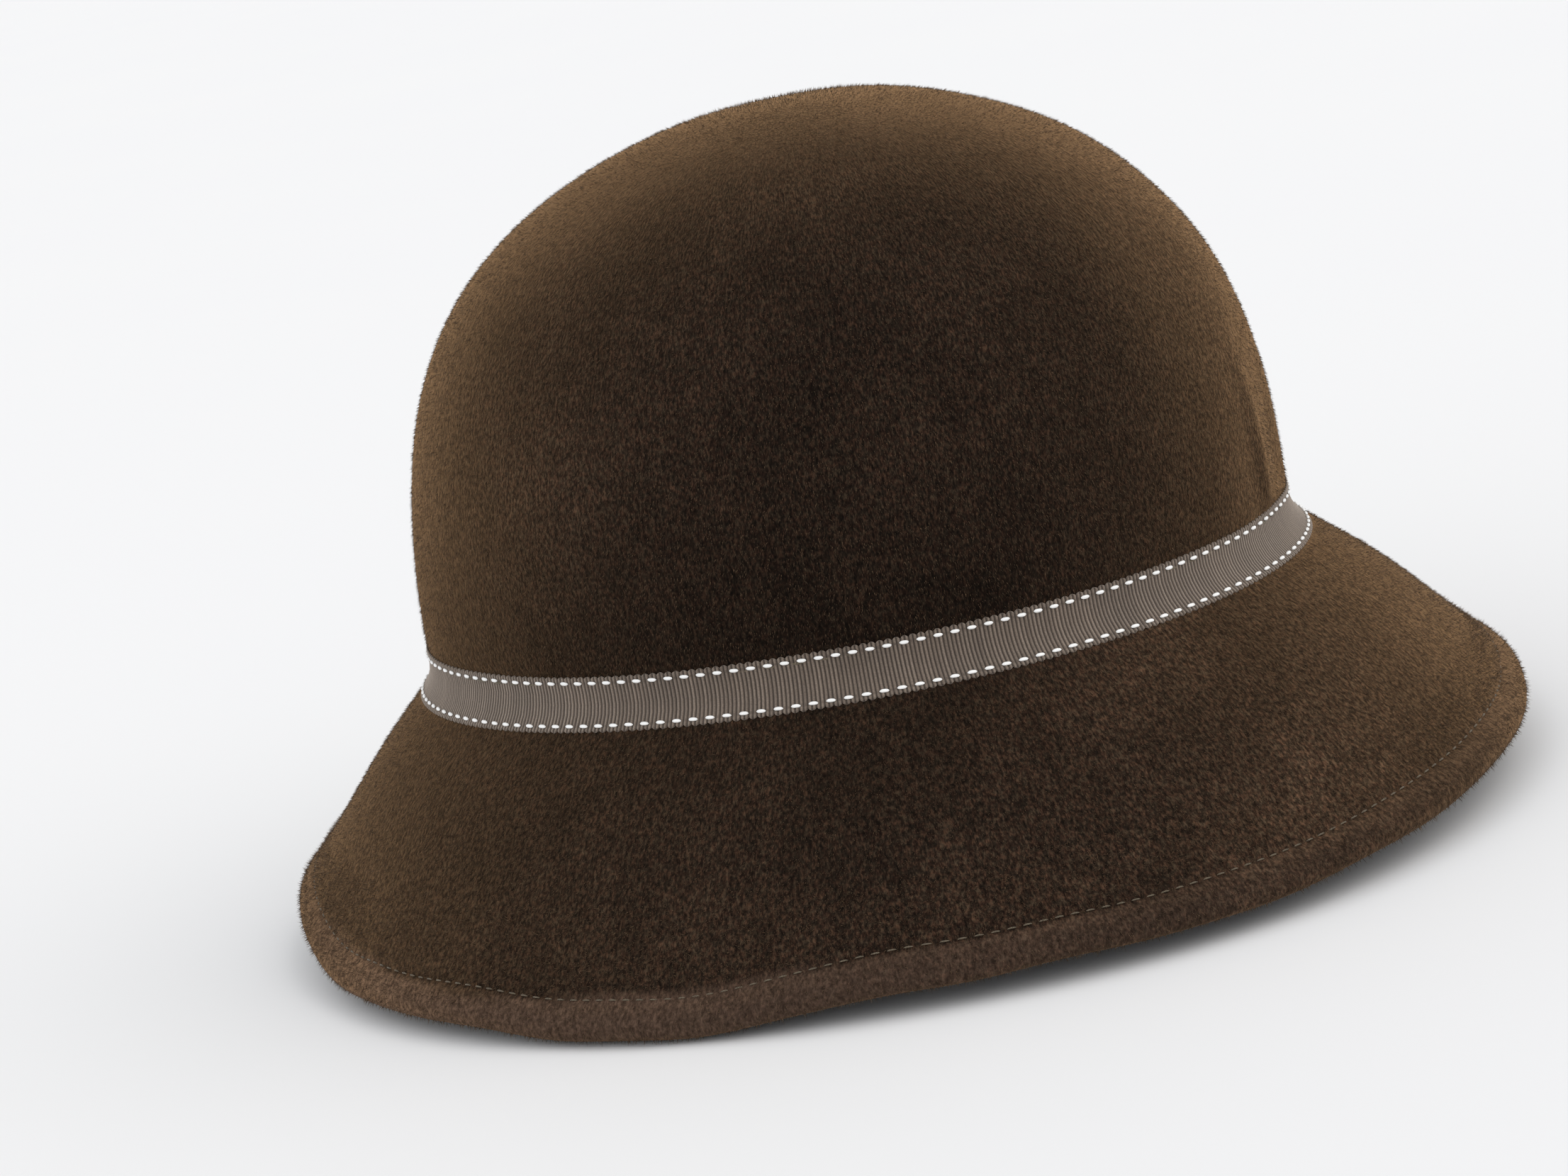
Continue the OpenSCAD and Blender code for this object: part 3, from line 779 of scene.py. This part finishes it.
def stitches(name, starts, ends, outs, width, rise, material, slot, *nodes):
    """A thread for each pair of points: a rounded bar that rises along outs in its middle and dips at its
    ends."""
    rings, sides = 9, 8
    k = np.linspace(-1, 1, rings)
    fat = np.maximum(1 - np.abs(k) ** 2.8, 0.03) ** 0.6
    arch = 1 - k * k * 1.15
    way = ends - starts
    length = np.linalg.norm(way, axis=1, keepdims=True)
    way = way / length
    out = outs - way * (outs * way).sum(1, keepdims=True)
    out /= np.linalg.norm(out, axis=1, keepdims=True)
    side = np.cross(way, out)
    centre = (starts + ends) / 2
    angles = np.arange(sides) * 2 * math.pi / sides
    count = len(starts)
    p = np.zeros((count, rings, sides, 3))
    for i in range(rings):
        for j, a in enumerate(angles):
            ring = centre + way * length * k[i] / 2 + out * rise * arch[i]
            p[:, i, j] = ring + width / 2 * fat[i] * (math.cos(a) * side + 0.8 * math.sin(a) * out)
    one = np.concatenate([grid_faces(rings, sides, wrap_cols=True)[:, ::-1], ring_cap(0, sides),
                          ring_cap((rings - 1) * sides, sides)[:, ::-1]])
    step = rings * sides
    faces = (np.arange(count)[:, None, None] * step + one[None]).reshape(-1, 4)
    obj = make_mesh(name, p.reshape(-1, 3), faces)
    return piece(obj, material, slot, *nodes)


def outward(points, inner_points):
    """Directions from inner_points to points."""
    d = points - inner_points
    return d / np.linalg.norm(d, axis=1, keepdims=True)


def build_dashes(name, side, shift, node):
    """A row of running stitches along the ribbon's upper edge (side -1) or lower edge (side 1), moved along
    by shift of a stitch."""
    count = int(round(HEAD_LINE / ROW_PITCH))
    half = DASH_LEN / ROW_PITCH / 2
    i = np.arange(count)
    t1 = even((i + shift - half) * 2 * math.pi / count, *HEAD_OVAL)
    t2 = even((i + shift + half) * 2 * math.pi / count, *HEAD_OVAL)
    lapped = (t1 > JOIN_ANGLE) & (t2 < past_join(LAP_LEN))
    tm = (t1 + t2) / 2
    d = side * (BAND_W / 2 - ROW_INSET)
    off = BAND_GAP + BAND_T + THREAD_PROUD + lapped * (BAND_T + PLAY) + band_sink(tm, band_mid(t1) + d)
    starts = band_path(t1, band_mid(t1) + d - DASH_TILT, off)
    ends = band_path(t2, band_mid(t2) + d + DASH_TILT, off)
    outs = outward(band_path(tm, band_mid(tm) + d, off + MM), band_path(tm, band_mid(tm) + d, off))
    return stitches(name, starts, ends, outs, DASH_W, DASH_RISE, white_thread, "white_thread", node)


def build_hem_row(name, w, shift, way, node):
    """A row of machine stitches on the hem, at height w off the brim's top and moved along by shift of a
    stitch, facing up (way 1) or down (way -1)."""
    a = HALF_WID + BRIM_SIDE - HEM_ROW
    b = HALF_LEN + (BRIM_FRONT + BRIM_BACK) / 2 - HEM_ROW
    count = int(round(oval_len(a, b) / HEM_PITCH))
    i = np.arange(count)
    half = HEM_DASH / HEM_PITCH / 2
    t1 = even((i + shift - half) * 2 * math.pi / count, a, b)
    t2 = even((i + shift + half) * 2 * math.pi / count, a, b)

    def row(t, off):
        _, _, _, slant = brim_frame(t)
        p = on_brim(t, slant - HEM_ROW, w + off)
        return raised(p, brim_relief(t, p, 1.0))

    tm = (t1 + t2) / 2
    outs = outward(row(tm, way * MM), row(tm, 0))
    return stitches(name, row(t1, 0), row(t2, 0), outs, HEM_THREAD_W, HEM_THREAD_RISE, brown_thread,
                    "brown_thread", node)


def build_tacks():
    """Small upright stitches that hold the ribbon's lapped end."""
    count = 4
    off = BAND_GAP + 2 * BAND_T + PLAY + 0.12 * MM
    t = np.full(count, past_join(LAP_LEN - TACK_INSET))
    s = band_mid(t) + (np.arange(count) - (count - 1) / 2) * TACK_PITCH
    starts, ends = band_path(t, s - TACK_HALF, off), band_path(t, s + TACK_HALF, off)
    outs = outward(band_path(t, s, off + MM), band_path(t, s, off))
    return stitches("ribbon_tacks", starts, ends, outs, HAND_THREAD_W, 0.08 * MM, brown_thread,
                    "brown_thread", "band_tack_stitches")


def build_wall_row(name, r, z, pitch, cover, way, node):
    """A row of stitches round the head wall, r outside it and at height z, each of them cover of its pitch
    long, facing out (way 1) or in (way -1)."""
    count = int(round(HEAD_LINE / pitch))
    i = np.arange(count)
    t1 = even(i * 2 * math.pi / count, *HEAD_OVAL)
    t2 = even((i + cover) * 2 * math.pi / count, *HEAD_OVAL)
    tm = (t1 + t2) / 2
    outs = outward(at_wall(tm, r + way * MM, z), at_wall(tm, r, z))
    return stitches(name, at_wall(t1, r, z), at_wall(t2, r, z), outs, HAND_THREAD_W, 0.1 * MM, brown_thread,
                    "brown_thread", node)


# ---- Wire ----

def build_wire():
    cols, sides = 360, 12
    t = math.pi / 2 + WIRE_GAP / 2 + (2 * math.pi - WIRE_GAP) * np.linspace(0, 1, cols)
    _, _, _, slant = brim_frame(t)
    ring = [on_brim(t, slant - EDGE_R + WIRE_R * math.cos(a), -EDGE_R + WIRE_R * math.sin(a))
            for a in np.arange(sides) * 2 * math.pi / sides]
    verts = np.stack(ring).transpose(1, 0, 2).reshape(-1, 3)
    caps = [ring_cap(0, sides), ring_cap((cols - 1) * sides, sides)[:, ::-1]]
    faces = np.concatenate([grid_faces(cols, sides, wrap_cols=True)[:, ::-1], *caps])
    obj = make_mesh("edge_wire", verts, faces)
    return piece(obj, steel, "millinery_wire", "brim_wire")


crown = build_crown()
brim = build_brim()
build_band()
build_sweatband()
build_dashes("ribbon_dashes_upper", -1, 0.0, "band_upper_stitches")
build_dashes("ribbon_dashes_lower", 1, 0.35, "band_lower_stitches")
build_hem_row("hem_threads_top", -0.30 * MM, 0.0, 1, "hem_needle_thread")
build_hem_row("hem_threads_under", -2 * EDGE_R + 0.2 * MM, 0.5, -1, "hem_bobbin_thread")
build_tacks()
build_wall_row("sweatband_threads", SWEAT_OUTER - SWEAT_T - THREAD_PROUD, SWEAT_ROW, SWEAT_PITCH, 0.5, -1,
               "sweatband_stitches")
build_wall_row("head_seam_threads", -SEAM_IN, SEAM_UP, SEAM_PITCH, 0.55, 1, "head_seam_thread")
build_wire()

# The wire's crimped sleeve keeps its CAD shape
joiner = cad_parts["wire_joiner"]
joiner.data.materials.clear()
joiner.data.materials.append(brass)

# Nap: fibres in a piece, and the spikes of the crown and the brim's top
FIBRES = 49000
SPIKE = {"length": 0.95 * MM, "width": 0.15 * MM, "lean": 1.2}
BAND_FOOT_Z, FOLD_Z, SKIRT_Z = -7.4 * MM, -38 * MM, -2 * MM


def on_crown(p, n):
    return (p[:, 2] > 5 * MM) & ((n * (p - UP * 30 * MM)).sum(1) > 0)


def on_brim_top(p, n):
    return (p[:, 2] < BAND_FOOT_Z) & (n[:, 2] > 0.2)


def on_edge(p, n):
    return (p[:, 2] < FOLD_Z) & (n[:, 2] < 0.75) & (n[:, 2] > -0.85)


def on_underside(p, n):
    return (p[:, 2] < SKIRT_Z) & (n[:, 2] < -0.2)


for half in ("a", "b"):
    nap("crown_nap_" + half, crown, FIBRES, on_crown, **SPIKE)
for half in ("a", "b"):
    nap("brim_nap_" + half, brim, FIBRES, on_brim_top, **SPIKE)
nap("edge_nap", brim, FIBRES, on_edge, 1.25 * MM, 0.16 * MM, 0.3)
nap("underside_nap", brim, FIBRES, on_underside, 0.7 * MM, 0.18 * MM, 0.6)


# ---- Floor, light and camera ----

def stage_material():
    n = Nodes("studio_floor")
    soft = n.noise(3, 2.0, 0.5)
    n.set(Base_Color=n.ramp(soft, (0.3, (0.855, 0.855, 0.86)), (0.7, (0.86, 0.86, 0.86))), Roughness=0.9,
          Specular_IOR_Level=0.1)
    return n.material


def build_floor():
    """A wide flat disc at the height of the hat's lowest points."""
    radii, spokes = (0.001, 0.5, 14.0), 96
    a = np.arange(spokes) * 2 * math.pi / spokes
    z = np.full(spokes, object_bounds()[0][2])
    verts = np.concatenate([np.stack([r * np.cos(a), r * np.sin(a), z], 1) for r in radii])
    faces = np.concatenate([grid_faces(len(radii), spokes, wrap_cols=True)[:, ::-1], ring_cap(0, spokes)])
    obj = make_mesh("studio_floor", verts, faces, rounded=False)
    obj.data.materials.append(stage_material())


def soft_sun(name, way, strength, spread, colour):
    """Light from the direction way, spread over that many degrees of the sky."""
    light = bpy.data.lights.new(name, "SUN")
    light.energy, light.angle, light.color = strength, math.radians(spread), colour
    obj = bpy.data.objects.new(name, light)
    bpy.context.scene.collection.objects.link(obj)
    obj.rotation_euler = Vector(way).to_track_quat("Z", "Y").to_euler()


def build_light():
    world = bpy.data.worlds.new("studio_air")
    bpy.context.scene.world = world
    world.use_nodes = True
    air = world.node_tree.nodes["Background"]
    air.inputs["Color"].default_value = (0.97, 0.98, 1.0, 1)
    air.inputs["Strength"].default_value = 0.92
    soft_sun("window", (0.5, -0.8, 0.7), 0.25, 60, (0.94, 0.97, 1.0))
    soft_sun("room", (0.2, 0.8, 0.8), 0.65, 60, (1.0, 0.95, 0.88))


def build_camera():
    """The view of the near, left side: turned a little past square, from just above, the hat tipped."""
    azimuth, elevation, roll = math.radians(91.6), math.radians(13.2), math.radians(-11.4)
    distance, aim_across, aim_up, aim_z = 0.848, -0.0180, -0.0012, -0.0019
    back = Vector((math.sin(azimuth) * math.cos(elevation), -math.cos(azimuth) * math.cos(elevation),
                   math.sin(elevation)))
    right = Vector((math.cos(azimuth), math.sin(azimuth), 0))
    up = back.cross(right)
    c, s = math.cos(roll), math.sin(roll)
    right, up = c * right + s * up, -s * right + c * up
    camera = bpy.data.objects.new("camera", bpy.data.cameras.new("camera"))
    bpy.context.scene.collection.objects.link(camera)
    camera.data.sensor_width, camera.data.lens = 36, 81.4
    camera.data.clip_end = 60
    place = Vector((0, 0, aim_z)) + aim_across * right + aim_up * up + distance * back
    camera.matrix_world = Matrix((
        (right.x, up.x, back.x, place.x),
        (right.y, up.y, back.y, place.y),
        (right.z, up.z, back.z, place.z),
        (0, 0, 0, 1)))
    bpy.context.scene.camera = camera


build_floor()
build_light()
build_camera()
bpy.context.scene.view_settings.view_transform = "Standard"
